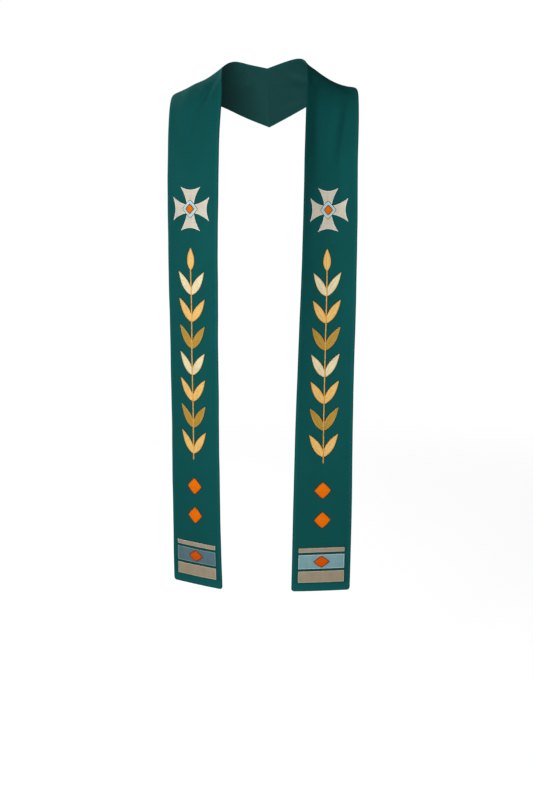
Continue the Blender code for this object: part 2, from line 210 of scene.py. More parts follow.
RIGHT_CREASES = (
    Fold("pucker at the nape", (-0.066, 1.298), (-0.036, 1.272), 0.0060, -0.0006, -0.002, 0.3),
    Fold("pressed in behind the neck", (-0.067, 1.252), (-0.022, 1.236), 0.0070, -0.0010, 0.003, -0.2),
    Fold("pressed in beside the neck", (-0.067, 1.212), (-0.030, 1.204), 0.0065, -0.0009, 0.002, 0.3),
    Fold("below the crest", (-0.067, 1.138), (-0.036, 1.108), 0.0070, -0.0008, 0.003, 0.3),
    Fold("second drag from the neck", (-0.046, 1.120), (0.018, 0.960), 0.0090, -0.0010, -0.005, 0.3),
    Fold("drag to the shoulder point", (0.063, 1.120), (0.040, 1.050), 0.0110, 0.0010, -0.003, 0.3),
    Fold("short drag at the chest", (-0.060, 0.990), (-0.036, 0.910), 0.0085, -0.0007, 0.003, -0.2),
    Fold("soft flute at the chest", (0.030, 0.880), (0.020, 0.680), 0.0160, 0.0008, -0.005, 0.2),
    Fold("soft flute at the hip", (-0.016, 0.600), (-0.026, 0.290), 0.0200, 0.0008, 0.006, 0.2),
    Fold("outer flute to the hem", (0.038, 0.480), (0.034, 0.120), 0.0180, -0.0009, -0.004, 0.2),
    Fold("inner dent above the hem", (-0.058, 0.200), (-0.052, 0.050), 0.0110, -0.0006, -0.002, 0.2),
    Fold("back, near the outer edge", (0.048, 1.298), (0.042, 1.200), 0.0130, 0.0009, -0.004, 0.2),
    Fold("back, drag from the seam", (-0.044, 1.292), (0.024, 1.226), 0.0080, -0.0016, 0.005, 0.2),
    Fold("back, swell above that drag", (-0.020, 1.268), (0.030, 1.200), 0.0110, 0.0012, 0.004, 0.2),
    Fold("back, dent at the outer edge", (0.028, 1.304), (0.058, 1.252), 0.0090, -0.0013, -0.003, -0.3),
)


def smooth_step(low: float, high: float, value: Array) -> Array:
    """Rise from 0 at low to 1 at high, as 3 t squared less 2 t cubed."""
    part = np.clip((value - low) / (high - low), 0.0, 1.0)
    return part * part * (3.0 - 2.0 * part)


def spline_through(knots: Array, values: Array, at: Array) -> Array:
    """Read a natural cubic spline through (knots, values).

    The bend at each knot solves the usual three-term equations, with none at the ends.

    Args:
        knots: rising places, shape (n,).
        values: the values there, shape (n,).
        at: the places to read, shape (m,).

    Returns:
        The spline's values, shape (m,).
    """
    count = len(knots)
    step = np.diff(knots)
    matrix = np.eye(count)
    right = np.zeros(count)
    inner = np.arange(1, count - 1)
    matrix[inner, inner - 1] = step[:-1]
    matrix[inner, inner] = 2 * (step[:-1] + step[1:])
    matrix[inner, inner + 1] = step[1:]
    right[inner] = 6 * np.diff(np.diff(values) / step)
    bend = np.linalg.solve(matrix, right)
    k = np.clip(np.searchsorted(knots, at) - 1, 0, count - 2)
    b = (at - knots[k]) / step[k]
    a = 1.0 - b
    curve = ((a**3 - a) * bend[k] + (b**3 - b) * bend[k + 1]) * step[k] ** 2 / 6
    return a * values[k] + b * values[k + 1] + curve


def on_lines(lines: Array, part: Array | float) -> tuple[Array, Array]:
    """Places on section lines, before they are bowed.

    Args:
        lines: rows of x, y, z, length, bearing, droop and bow.
        part: part of the way from neck edge to outer edge.

    Returns:
        The places and the lines' unit directions, both of shape (n, 3).
    """
    turn, down = np.radians(lines[:, 4:6].T)
    level = np.cos(down)
    direction = np.stack([level * np.cos(turn), level * np.sin(turn), -np.sin(down)], axis=-1)
    return lines[:, 0:3] + direction * (lines[:, 3] * part)[:, None], direction


def unit(vectors: Array) -> Array:
    """The vectors, each brought to length 1."""
    return vectors / np.linalg.norm(vectors, axis=-1, keepdims=True)


def run_along(path: Array) -> Array:
    """Metres along a path at each of its points, 0 at the first."""
    return np.concatenate([[0.0], np.cumsum(np.linalg.norm(np.diff(path, axis=0), axis=1))])


def paired(first: Array | float, second: Array | float) -> Array:
    """Two coordinates, spread to one shape and set side by side on a new last axis."""
    return np.stack(np.broadcast_arrays(first, second), axis=-1)


def put_up(name: str, data: bpy.types.ID) -> bpy.types.Object:
    """A new object, linked to the scene.

    Args:
        name: its name.
        data: its mesh, light or camera.

    Returns:
        The object.
    """
    made = bpy.data.objects.new(name, data)
    bpy.context.scene.collection.objects.link(made)
    return made


@dataclass
class WornStrip:
    """One half of the stole: the worn surface over the strip's flat cut.

    ripple is the height of a faint unevenness. A wave's lengths are metres across and up.
    """

    side: Side
    sections: tuple[Section, ...]
    folds: tuple[Fold, ...]
    ripple: float = 0.0004
    slow_wave: tuple[float, float] = (0.33, 0.21)
    quick_wave: tuple[float, float] = (-0.12, 0.083)
    quick_share: float = 0.35
    calm_at_seam: float = 0.05
    next_line: float = 0.0005
    next_lift: float = 0.0001
    knots: Array = field(init=False)
    columns: Array = field(init=False)
    length: float = field(init=False)

    def __post_init__(self) -> None:
        """Place the sections along the strip by the length of its middle line."""
        self.columns = np.array([[s.x, s.y, s.z, s.spread * BAND_WIDTH, s.bearing, s.droop, s.bow]
                                 for s in self.sections])
        self.columns[1:, 0] -= self.side.mirror * SEAM_OFFSET
        self.knots = run_along(on_lines(self.columns, 0.5)[0])
        self.length = float(self.knots[-1])

    def lines(self, along: Array) -> Array:
        """The section lines' rows at metres along from the centre-back seam."""
        return np.column_stack([spline_through(self.knots, c, along) for c in self.columns.T])

    def swell(self, place: Array) -> Array:
        """How far folds, creases and a faint ripple lift the cloth.

        The ripple is two crossed sine waves, which fade out towards the seam.

        Args:
            place: (across, up), shape (n, 2).

        Returns:
            The lift in metres, shape (n,).
        """
        slow, quick = (2 * math.pi * (place / wave).sum(axis=-1)
                       for wave in (self.slow_wave, self.quick_wave))
        waves = np.sin(slow + self.side.mirror) + self.quick_share * np.sin(quick)
        calm = smooth_step(0.0, self.calm_at_seam, self.length - place[:, 1])
        return sum(fold.height(place) for fold in self.folds) + self.ripple * calm * waves

    def points(self, place: Array, lift: Array | float) -> Array:
        """Carry places of the flat cut onto the worn surface.

        A place is its section line's point at that part of the line, moved out along the
        surface's normal by the line's parabolic bow, the swell and the lift. The normal is
        square to the line and to the step to the next line.

        Args:
            place: (across, up) along the last axis.
            lift: metres off the middle of the cloth's wall.

        Returns:
            Points along the last axis.
        """
        shape = np.broadcast_shapes(place.shape[:-1], np.shape(lift))
        place = np.broadcast_to(place, shape + (2,)).reshape(-1, 2)
        along = self.length - place[:, 1]
        part = 0.5 + place[:, 0] / BAND_WIDTH
        lines = self.lines(along)
        here, direction = on_lines(lines, part)
        ahead = on_lines(self.lines(along + self.next_line), part)[0]
        normal = unit(np.cross(ahead - here, direction))
        bowed = lines[:, 6] * 4 * part * (1 - part)
        rise = bowed + self.swell(place) + np.broadcast_to(lift, shape).ravel()
        worn = here + normal * rise[:, None]
        worn[:, 0] *= self.side.mirror
        return worn.reshape(shape + (3,))

    def normals(self, place: Array, lift: Array | float) -> Array:
        """Unit vectors out of the cloth, from two lifts close to each other."""
        return unit(self.points(place, lift + self.next_lift) - self.points(place, lift))


class NodeBoard:
    """The nodes of a material or the world, with short ways to add and join them."""

    def __init__(self, owner: bpy.types.ID, base: str, inputs: Inputs) -> None:
        """Start from the node that is there already.

        Args:
            owner: the material or world.
            base: the name of its shader node.
            inputs: what that node's sockets get.
        """
        owner.use_nodes = True
        self.owner = owner
        self.tree = owner.node_tree
        self.base = self.tree.nodes[base]
        self.feed(self.base, inputs)

    def feed(self, node: bpy.types.Node, inputs: Inputs) -> None:
        """Set sockets to values, or join them to other nodes' outputs.

        Args:
            node: the node to feed.
            inputs: what its sockets get, by their name or number.
        """
        for key, value in inputs.items():
            if isinstance(value, bpy.types.NodeSocket):
                self.tree.links.new(value, node.inputs[key])
            else:
                node.inputs[key].default_value = value

    def add(self, kind: str, inputs: Inputs, output: str | int = 0, **settings: object) -> Socket:
        """Add a shader node.

        Args:
            kind: the node's type, without the word ShaderNode.
            inputs: what its sockets get.
            output: the name or number of the socket to give back.
            settings: the node's own properties.

        Returns:
            The output socket.
        """
        node = self.tree.nodes.new(f"ShaderNode{kind}")
        for key, value in settings.items():
            setattr(node, key, value)
        self.feed(node, inputs)
        return node.outputs[output]

    def math(self, operation: str, *values: Socket | float) -> Socket:
        """The result of a Math node on one to three values."""
        return self.add("Math", dict(enumerate(values)), operation=operation)

    def map_axes(self, map_name: str) -> tuple[Socket, Socket]:
        """The two coordinates of one of the piece's own maps.

        Args:
            map_name: the map's name.

        Returns:
            Metres across and metres up.
        """
        place = self.add("UVMap", {}, uv_map=map_name)
        split = self.add("SeparateXYZ", {0: place}).node
        return split.outputs[0], split.outputs[1]

    def noise(self, across: Socket, up: Socket, cells: tuple[float, float], detail: float = 2.0) -> Socket:
        """Noise from 0 to 1 that is stretched along the cloth.

        Args:
            across: metres across.
            up: metres up.
            cells: cells a metre across and a metre up.
            detail: octaves of the noise.

        Returns:
            The noise value.
        """
        scaled = [self.math("MULTIPLY", value, count) for value, count in zip((across, up), cells)]
        place = self.add("CombineXYZ", dict(enumerate(scaled)))
        return self.add("TexNoise", {"Scale": 1.0, "Detail": detail, "Vector": place})

    def ridges(self, metres: Socket, pitch: float) -> Socket:
        """Rounded thread ridges, the absolute value of a sine, from 0 to 1."""
        turned = self.math("MULTIPLY", metres, math.pi / pitch)
        return self.math("ABSOLUTE", self.math("SINE", turned))

    def thread_tone(self, metres: Socket, pitch: float) -> Socket:
        """A chance tone from 0 to 1 for each thread of that pitch."""
        number = self.math("FLOOR", self.math("DIVIDE", metres, pitch))
        return self.add("TexWhiteNoise", {"W": number}, noise_dimensions="1D")

    def rise(self, value: Socket, low: float, high: float) -> Socket:
        """A smooth rise from 0 at low to 1 at high."""
        span = {"Value": value, "From Min": low, "From Max": high}
        return self.add("MapRange", span, interpolation_type="SMOOTHSTEP")

    def fall(self, value: Socket, low: float, high: float) -> Socket:
        """A smooth fall from 1 at low to 0 at high."""
        return self.math("SUBTRACT", 1.0, self.rise(value, low, high))

    def add_part(self, tone: Socket | float, value: Socket, gain: float) -> Socket:
        """The tone plus a value times its gain."""
        return self.math("MULTIPLY_ADD", value, gain, tone)

    def swing(self, tone: Socket | float, value: Socket, gain: float) -> Socket:
        """The tone plus a gain times how far a value lies over one half."""
        return self.add_part(tone, self.math("SUBTRACT", value, 0.5), gain)


def tinted(colour: Colour, gain: float) -> tuple[float, ...]:
    """A colour made lighter or darker by a gain, and its alpha of 1."""
    return (*(min(1.0, channel * gain) for channel in colour), 1.0)


@dataclass(frozen=True)
class Finish:
    """What every cloth's finish shares.

    slot is the record's material slot, and colour is linear. pitch is metres from thread to
    thread and depth is how high one stands. sheen_gain tints the sheen from the colour, and
    slow_tone is how far a slow blotch goes. dark and light bound the tones.
    """

    name: str
    slot: str
    colour: Colour
    roughness: float = 0.50
    specular: float = 0.25
    sheen: float = 0.10
    sheen_gain: float = 1.2
    pitch: float = 0.00045
    depth: float = 0.00008
    slow_tone: float = 0.50
    dark: float = 0.72
    light: float = 1.28

    def threads(self, board: NodeBoard, across: Socket, up: Socket) -> tuple[Socket, Socket]:
        """The cloth's own tone and height, each from 0 to 1.

        Args:
            board: the material's nodes.
            across: metres across the flat cut.
            up: metres up the flat cut.

        Returns:
            The tone and the height.
        """
        raise NotImplementedError

    def material(self) -> bpy.types.Material:
        """The finish's material, built the first time it is asked for.

        It mixes dark and light by the threads' tone, and bumps by their height.

        Returns:
            The material.
        """
        if self.name in bpy.data.materials:
            return bpy.data.materials[self.name]
        board = NodeBoard(bpy.data.materials.new(self.name), "Principled BSDF", {
            "Roughness": self.roughness, "Specular IOR Level": self.specular,
            "Sheen Weight": self.sheen, "Sheen Tint": tinted(self.colour, self.sheen_gain)})
        tone, height = self.threads(board, *board.map_axes("cut"))
        ends = {0: tone, 6: tinted(self.colour, self.dark), 7: tinted(self.colour, self.light)}
        board.feed(board.base, {
            "Base Color": board.add("Mix", ends, 2, data_type="RGBA"),
            "Normal": board.add("Bump", {"Distance": self.depth, "Height": height})})
        return board.owner


@dataclass(frozen=True)
class WovenCloth(Finish):
    """A matt woven cloth with a plain weave, slubs in both directions, and painted light and shade at its
    edges and hem.

    Cells are counted a metre across and a metre up. Zones are metres from the edge or hem.
    """

    roughness: float = 0.88
    specular: float = 0.03
    sheen: float = 0.04
    sheen_gain: float = 6.0
    pitch: float = 0.0006
    depth: float = 0.00010
    slow_tone: float = 0.35
    slub_tone: float = 0.30
    slub_height: float = 0.6
    # The next three gains are painted light: shade on the turned edge, a highlight beside it, and light
    # along the hem.
    painted_edge_shade: float = 0.45
    painted_edge_highlight: float = 0.30
    painted_hem_light: float = 0.42
    warp_cells: tuple[float, float] = (900.0, 28.0)
    weft_cells: tuple[float, float] = (32.0, 800.0)
    slow_cells: tuple[float, float] = (14.0, 9.0)
    # Zones in metres from the edge: where the painted edge shade lies, then the painted highlight's rise and
    # fall.
    painted_shade_zone: tuple[float, float] = (0.0004, 0.0022)
    painted_highlight_zone: tuple[float, ...] = (0.0012, 0.0030, 0.0045, 0.0090)
    hem_zone: tuple[float, float] = (0.014, 0.021)

    def threads(self, board: NodeBoard, across: Socket, up: Socket) -> tuple[Socket, Socket]:
        """The weave.

        The tone adds slubs along warp and weft, a slow blotch, painted shade on the turned
        edge, a painted highlight on the band over the pressed ridge beside it, and painted light
        along the hem. The height is the product of two thread ridges, with the slubs added.

        Args:
            board: the material's nodes.
            across: metres across the flat cut.
            up: metres up the flat cut.

        Returns:
            The tone and the height.
        """
        inset = board.map_axes("thread")[1]
        warp, weft = (board.noise(across, up, cells) for cells in (self.warp_cells, self.weft_cells))
        slubs = board.math("SUBTRACT", board.math("ADD", warp, weft), 1.0)
        # The band over the pressed ridge, which gets a painted highlight.
        pressed = board.math("MULTIPLY", board.rise(inset, *self.painted_highlight_zone[:2]),
                             board.fall(inset, *self.painted_highlight_zone[2:]))
        tone = board.add_part(0.5, slubs, self.slub_tone)
        tone = board.swing(tone, board.noise(across, up, self.slow_cells, detail=3.0), self.slow_tone)
        # Painted highlight along the pressed ridge beside the edge.
        tone = board.add_part(tone, pressed, self.painted_edge_highlight)
        # Painted light along the hem, fading out above it.
        tone = board.add_part(tone, board.fall(up, *self.hem_zone), self.painted_hem_light)
        # Painted shade on the turned edge.
        tone = board.add_part(tone, board.fall(inset, *self.painted_shade_zone), -self.painted_edge_shade)
        weave = board.math("MULTIPLY", board.ridges(across, self.pitch), board.ridges(up, self.pitch))
        return tone, board.add_part(weave, slubs, self.slub_height)


class Stitching(Enum):
    """Which way the threads of an applied piece run."""

    LINEN = "plain weave, square to the strip"
    STRAIGHT = "satin threads straight across the strip"
    SLANTED = "satin threads slanting in from the edge to the core"
    BORDER = "satin threads square to the edge"


@dataclass(frozen=True)
class ThreadCloth(Finish):
    """A lustrous applied cloth or stitched border, with every thread laid by its stitching."""

    stitching: Stitching = Stitching.BORDER
    slant: float = 0.9
    thread_tone: float = 0.35
    slow_cells: tuple[float, float] = (55.0, 40.0)

    def threads(self, board: NodeBoard, across: Socket, up: Socket) -> tuple[Socket, Socket]:
        """The stitching.

        Threads are ridges of a coordinate that runs square to them. Each has a chance tone,
        and a slow blotch of painted sheen lets the lustre vary along the piece.

        Args:
            board: the material's nodes.
            across: metres across the flat cut.
            up: metres up the flat cut.

        Returns:
            The tone and the height.
        """
        along, inset = board.map_axes("thread")
        match self.stitching:
            case Stitching.LINEN | Stitching.STRAIGHT:
                square = up
            case Stitching.SLANTED:
                square = board.add_part(along, inset, self.slant)
            case Stitching.BORDER:
                square = along
        height = board.ridges(square, self.pitch)
        tone = board.thread_tone(square, self.pitch)
        if self.stitching is Stitching.LINEN:
            height = board.math("MULTIPLY", height, board.ridges(across, self.pitch))
            crossing = board.thread_tone(across, self.pitch)
            tone = board.math("MULTIPLY", board.math("ADD", tone, crossing), 0.5)
        tone = board.swing(0.5, tone, self.thread_tone)
        # The slow blotch is painted sheen, lighter and darker along the satin.
        return board.swing(tone, board.noise(across, up, self.slow_cells), self.slow_tone), height


GREEN = WovenCloth("green_band_cloth", "green_cloth", (0.0050, 0.0806, 0.0776))
GREEN_LINING = WovenCloth("green_lining_cloth", "green_cloth", (0.0050, 0.0640, 0.0600),
                          roughness=0.60, specular=0.20, pitch=0.0004, depth=0.00005,
                          slub_tone=0.15, painted_edge_highlight=0.0, painted_hem_light=0.0)
# The dark thread of cords and stitches. Round the applied pieces, its darkness also stands for painted shade
# of the gap at their edges.
GREEN_THREAD = ThreadCloth("green_thread", "green_cloth", (0.0040, 0.0380, 0.0360),
                           roughness=0.55, specular=0.15, sheen=0.02)


@dataclass(frozen=True)
class Trim:
    """An applied piece's fill and its satin border."""

    fill: ThreadCloth
    border: ThreadCloth


def make_trim(name: str, fill: Colour, border: Colour, stitching: Stitching, lustre: float = 1.0) -> Trim:
    """A trim whose two finishes share a slot, which the last word of its name gives.

    Args:
        name: the start of both finishes' names.
        fill: the fill's colour, linear.
        border: the border's colour, linear.
        stitching: how the fill's threads run.
        lustre: gain on the gloss and the sheen of both finishes.

    Returns:
        The trim.
    """
    slot = f"{name.split('_')[-1]}_cloth"
    body = ThreadCloth(f"{name}_fill", slot, fill, stitching=stitching)
    if stitching is Stitching.LINEN:
        body = replace(body, pitch=0.0009, depth=0.00014, roughness=0.72, specular=0.12)
    edge = ThreadCloth(f"{name}_border", slot, border)
    return Trim(*(replace(finish, specular=finish.specular * lustre, sheen=finish.sheen * lustre)
                  for finish in (body, edge)))


GOLD = make_trim("gold", (0.86, 0.50, 0.145), (0.72, 0.37, 0.08), Stitching.SLANTED)
OCHRE = make_trim("ochre", (0.44, 0.25, 0.028), (0.52, 0.30, 0.055), Stitching.SLANTED)
IVORY = make_trim("ivory", (0.80, 0.68, 0.42), (0.72, 0.52, 0.24), Stitching.SLANTED)
BEIGE = make_trim("beige", (0.351, 0.290, 0.205), (0.47, 0.41, 0.31), Stitching.LINEN)
CROSS_BEIGE = make_trim("pale_beige", (0.62, 0.56, 0.455), (0.88, 0.85, 0.78), Stitching.LINEN)
BLUE = make_trim("pale_blue", (0.40, 0.60, 0.64), (0.62, 0.78, 0.80), Stitching.STRAIGHT)
SLATE = make_trim("slate", (0.095, 0.17, 0.20), (0.19, 0.30, 0.33), Stitching.LINEN)
PALE_SLATE = make_trim("pale_slate", (0.205, 0.365, 0.390), (0.42, 0.57, 0.60), Stitching.LINEN)
ORANGE = make_trim("orange", (0.92, 0.160, 0.001), (0.80, 0.125, 0.001), Stitching.STRAIGHT, 0.15)
DEEP_ORANGE = make_trim("deep_orange", (0.70, 0.088, 0.001), (0.58, 0.070, 0.001), Stitching.STRAIGHT, 0.15)
CORD = replace(GOLD.border, name="stem_cord_thread", stitching=Stitching.SLANTED, pitch=0.0006)
COUCHING = replace(OCHRE.border, name="couching_thread")


@dataclass
class MeshParts:
    """Quads gathered from grids, each with its map coordinates and finish number.

    The map "cut" holds the place in the flat cut, and the map "thread" holds metres along an
    outline or edge and metres in from it.
    """

    points: list[Array] = field(default_factory=list)
    quads: list[Array] = field(default_factory=list)
    cut: list[Array] = field(default_factory=list)
    thread: list[Array] = field(default_factory=list)
    finish: list[Array] = field(default_factory=list)
    count: int = 0

    def add_grid(self, points: Array, cut: Array, thread: Array, finish: Array | int = 0,
                 wraps: bool = False) -> None:
        """Add quads between neighbouring rows and columns of one grid, or of many like grids.

        Args:
            points: shape (rows, columns, 3), or (grids, rows, columns, 3).
            cut: the flat cut's coordinates, in the same shape but for its last size, 2.
            thread: thread coordinates, shaped as cut, or with one more column where the grid
                wraps, so that the last quad ends at the outline's full length.
            finish: the finish number of all quads, or a shape that spreads over them.
            wraps: whether the last column joins the first.
        """
        points, cut, thread = (a.reshape((-1,) + a.shape[-3:]) for a in (points, cut, thread))
        grids, rows, columns = points.shape[:3]
        spans = columns if wraps else columns - 1
        near = np.arange(spans)
        far = (near + 1) % columns
        row = np.arange(rows - 1)[:, None]
        corner_rows = (row, row, row + 1, row + 1)
        far_thread = near + 1 if thread.shape[2] > columns else far
        quads = np.stack([r * columns + c for r, c in zip(corner_rows, (near, far, far, near))], axis=-1)
        first = self.count + np.arange(grids) * rows * columns
        self.quads.append((quads[None] + first[:, None, None, None]).reshape(-1, 4))
        for kept, source, last in ((self.cut, cut, far), (self.thread, thread, far_thread)):
            corners = [source[:, r, c] for r, c in zip(corner_rows, (near, last, last, near))]
            kept.append(np.stack(corners, axis=-2).reshape(-1, 4, 2))
        self.finish.append(np.broadcast_to(finish, (grids, rows - 1, spans)).reshape(-1))
        self.points.append(points.reshape(-1, 3))
        self.count += grids * rows * columns

    def build(self, name: str, finishes: list[Finish], node: str = "") -> bpy.types.Object:
        """Make one piece, welded shut, with its faces pointing out, that rides on the stole.

        Args:
            name: the piece's name.
            finishes: its finishes by number.
            node: the CAD node that it replaces, if any.

        Returns:
            The new piece.
        """
        mesh = bpy.data.meshes.new(name)
        mesh.from_pydata(np.concatenate(self.points).tolist(), [], np.concatenate(self.quads).tolist())
        for map_name, parts in (("cut", self.cut), ("thread", self.thread)):
            layer = mesh.uv_layers.new(name=map_name)
            layer.data.foreach_set("uv", np.concatenate(parts).astype(np.float32).ravel())
        mesh.polygons.foreach_set("material_index", np.concatenate(self.finish).astype(np.int32))
        body = bmesh.new()
        body.from_mesh(mesh)
        bmesh.ops.remove_doubles(body, verts=body.verts, dist=WELD)
        bmesh.ops.dissolve_degenerate(body, edges=body.edges, dist=WELD / 10)
        bmesh.ops.recalc_face_normals(body, faces=body.faces)
        body.to_mesh(mesh)
        body.free()
        mesh.shade_smooth()
        for finish in finishes:
            mesh.materials.append(finish.material())
        piece = put_up(name, mesh)
        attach(piece, "root")
        if node:
            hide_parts(node)
        LOG.info("%s: %d faces", name, len(mesh.polygons))
        return piece


@dataclass
class BandShell:
    """The closed wall of one half: outer cloth turned in at the edges, lining behind it.

    worn_length is how far down from the seam the rings are close. A ridge and a softened
    edge have a height, and a reach that says how fast they fade.
    """

    strip: WornStrip
    worn_length: float = 0.440
    worn_step: float = 0.0024
    hanging_step: float = 0.0036
    column_step: float = 0.0028
    hem_zone: float = 0.012
    pressed_ridge: float = 0.00022
    pressed_inset: float = 0.0055
    pressed_reach: float = 0.0022
    edge_softness: float = 0.00025
    edge_reach: float = 0.0016
    lining_margin: float = 0.0045
    lining_step: float = 0.0005
    lining_ease: float = 0.0003
    seam_groove: float = 0.0008
    seam_radius: float = 0.0012

    def rows(self) -> Array:
        """Where the band's rings lie.

        Rings are close at the seam's groove and over the shoulder, wider apart where the
        band hangs, and close again where the hem is turned and rounded.

        Returns:
            Metres above the hem of each ring, from the seam down.
        """
        length = self.strip.length
        groove = length - self.seam_radius * np.array([0.0, 0.25, 0.5, 0.75])
        worn = np.arange(length - self.seam_radius, length - self.worn_length, -self.worn_step)
        count = round((worn[-1] - self.hem_zone) / self.hanging_step)
        hanging = np.linspace(worn[-1], self.hem_zone, count + 1)[1:]
        hem = np.linspace(self.hem_zone, RIM, 16)[1:]
        turned = RIM * (1 - np.sin(np.radians([22.5, 45.0, 67.5, 84.0])))
        return np.concatenate([groove, worn, hanging, hem, turned])

    def columns(self, flat_reach: Array) -> Array:
        """Places across one face in every ring, close together near both edges.

        Args:
            flat_reach: metres from the middle to where the edge starts to round, each ring.

        Returns:
            Metres across, shape (rings, columns).
        """
        near_edge = np.array([0.0, 0.5, 1.0, 1.6, 2.2, 2.8, 3.2, 3.6, 4.2, 5.0, 6.0, 7.4, 9.4]) / 1000
        middle_reach = flat_reach[:, None] - near_edge[-1]
        count = round(2 * float(middle_reach.max()) / self.column_step)
        middle = np.linspace(-1.0, 1.0, count + 1)[1:-1] * middle_reach
        edge = flat_reach[:, None] - near_edge
        return np.concatenate([-edge, middle, edge[:, ::-1]], axis=1)

    def build(self) -> bpy.types.Object:
        """Carry the cross section along the strip and close both ends.

        The section is the outer face, a half round edge, the inner face and the other edge.
        The outer face has a low ridge over the turned allowance. The inner face lies lower
        in a margin along the edges, where the outer cloth shows beside the lining.

        Returns:
            The band, as one closed piece.
        """
        up = self.rows()
        short = np.clip(HEM_CORNER - up, 0.0, HEM_CORNER)
        apex = (BAND_WIDTH / 2 - HEM_CORNER + np.sqrt(HEM_CORNER**2 - short**2))[:, None]
        face = self.columns(apex[:, 0] - RIM)
        arc = np.radians([22.5, 45.0, 67.5])
        round_out = apex - RIM + RIM * np.sin(arc)
        across = np.concatenate([-apex, -round_out[:, ::-1], face, round_out,
                                 apex, round_out[:, ::-1], face[:, ::-1], -round_out], axis=1)
        inset = np.minimum(apex - np.abs(across), up[:, None])
        half = across.shape[1] // 2
        to_groove = (self.strip.length - up[:, None]) / self.seam_radius
        outer = RIM - self.edge_softness * np.exp(-((inset / self.edge_reach) ** 2))
        outer += self.pressed_ridge * np.exp(-(((inset - self.pressed_inset) / self.pressed_reach) ** 2))
        outer -= self.seam_groove * np.clip(1 - to_groove, 0, 1) ** 2
        margin = self.lining_margin
        lined_part = smooth_step(margin - self.lining_ease, margin + self.lining_ease, inset)
        inner = -(RIM - self.lining_step * (1 - lined_part))
        lift = np.concatenate([outer[:, :half], inner[:, half:]], axis=1)
        turn = np.concatenate([[0.0], np.cos(arc)[::-1], np.ones(face.shape[1]), np.cos(arc)])
        lift *= np.concatenate([turn, turn])
        lift *= np.sqrt(1 - (1 - np.clip(up / RIM, 0.0, 1.0)[:, None]) ** 2)
        cut = paired(across, up[:, None])
        points = self.strip.points(cut, lift)
        points[0, :, 0] = -self.strip.side.mirror * SEAM_PRESS
        thread = paired(up[:, None], inset)
        lined = (inset > margin)[:-1, :] & (np.arange(2 * half) > half)
        parts = MeshParts()
        parts.add_grid(points, cut, thread, lined.astype(int), wraps=True)
        for row in (0, -1):
            path = np.stack([np.arange(half + 1), -np.arange(half + 1) % (2 * half)])
            parts.add_grid(points[row][path], cut[row][path], thread[row][path])
        node = f"{self.strip.side.value}_band"
        return parts.build(f"{node}_cloth", [GREEN, GREEN_LINING], node)


@dataclass(frozen=True)
class NestedOutline:
    """A closed outline in the flat cut, with the core that it shrinks to.

    outline and core have shape (n, 2). reach, shape (n,), is how far square in from the
    outline its core lies, so that a step in by a set width gives a parallel outline.
    """

    outline: Array
    core: Array
    reach: Array

    def rings(self, scale: Array) -> Array:
        """Outlines between the core at scale 0 and the outline at 1, shape (rings, n, 2)."""
        return self.core + (self.outline - self.core) * scale[..., None]

    def stepped_in(self, depth: float) -> Array:
        """The outline moved in by depth metres, or out where depth is below 0."""
        return self.rings((1 - depth / self.reach)[None])[0]

    def area(self) -> float:
        """The flat area inside the outline, by the shoelace formula."""
        x, y = self.outline.T
        return abs(float(np.sum(x * np.roll(y, -1) - y * np.roll(x, -1)))) / 2

    def lengths(self) -> Array:
        """Metres along the outline at each point, and its full length last."""
        return run_along(np.concatenate([self.outline, self.outline[:1]]))


def sample_count(length: float) -> int:
    """How many spans of one thread sample a length is drawn with."""
    return max(2, round(length / THREAD_SAMPLE))


def rectangle(width: float, low: float, high: float) -> NestedOutline:
    """A rectangle across the strip, whose core is the middle line less its end squares.

    Args:
        width: metres across.
        low: metres up of its lower edge.
        high: metres up of its upper edge.

    Returns:
        The outline, anticlockwise.
    """
    half = (high - low) / 2
    end = width / 2
    x = np.linspace(-end, end, sample_count(width) + 1)
    y = np.linspace(low, high, sample_count(high - low) + 1)
    outline = np.concatenate([paired(x[:-1], low), paired(end, y[:-1]),
                              paired(x[:0:-1], high), paired(-end, y[:0:-1])])
    core = paired(np.clip(outline[:, 0], half - end, end - half), low + half)
    return NestedOutline(outline, core, np.full(len(outline), half))


def lozenge(up: float, width: float, height: float) -> NestedOutline:
    """A lozenge with slightly bowed sides, whose core is its centre.

    A side runs straight from corner to corner, and is then pushed out from the centre by
    the bow times t (1 - t), with t from 0 to 1 along it.

    Args:
        up: metres up of its centre.
        width: metres from corner to corner across.
        height: metres from corner to corner up.

    Returns:
        The outline, anticlockwise.
    """
    corners = np.array([[width / 2, 0], [0, height / 2], [-width / 2, 0], [0, -height / 2]])
    side = float(np.hypot(width, height)) / 2
    part = np.arange(sample_count(side))[:, None] / sample_count(side)
    run = np.roll(corners, -1, axis=0) - corners
    outline = corners[:, None] + run[:, None] * part
    outline = (outline * (1 + LOZENGE_BOW * part * (1 - part))).reshape(-1, 2) + [0.0, up]
    core = np.broadcast_to([0.0, up], outline.shape)
    return NestedOutline(outline, core, np.full(len(outline), width * height / 4 / side))


